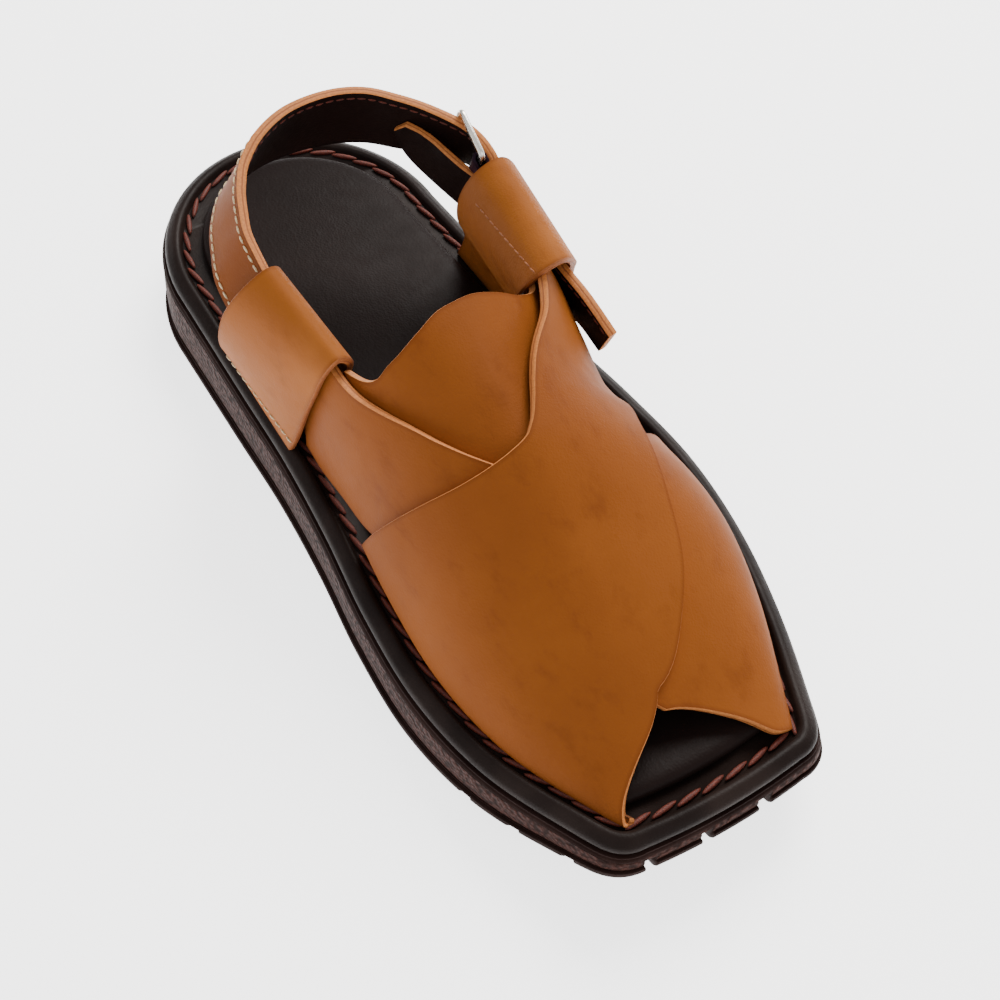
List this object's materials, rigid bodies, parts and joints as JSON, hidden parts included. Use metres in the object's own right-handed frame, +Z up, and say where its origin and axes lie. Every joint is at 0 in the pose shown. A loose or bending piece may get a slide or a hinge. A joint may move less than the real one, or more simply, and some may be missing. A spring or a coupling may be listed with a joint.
{
  "type": "peshawari chappal",
  "caption": "Left leather sandal with two wide crossed straps, open square toe, buckled heel strap and a stitched moulded sole with toe spring.",
  "frame": {"origin": "centre of the shoe's bounding box seen from above, on the ground", "axes": "+Z up, +Y towards the heel, toe towards -Y, +X towards the outer side of the left foot"},
  "size_m": [0.1232, 0.2954, 0.097],
  "materials": {
    "outsole_rubber": "matt moulded rubber, very dark brown, pebbled strip along the side",
    "welt": "satin dark grey-brown rim with a rust thread in a channel",
    "footbed_lining": "satin, fine grain, dark brown",
    "upper_leather": "smooth tan leather, satin, with pale cut edges",
    "strap_leather": "smooth tan leather outside, dark brown lining inside, pale cut edges",
    "buckle_metal": "polished plated wire"
  },
  "bodies": {
    "root": {"outsole": "outsole_rubber", "midsole": "welt", "footbed": "footbed_lining", "upper": "upper_leather", "tongue": "upper_leather", "loop_medial": "upper_leather", "loop_lateral": "upper_leather", "heel_strap": "strap_leather", "buckle_guard": "strap_leather", "buckle_frame": "buckle_metal"}
  },
  "joints": []
}
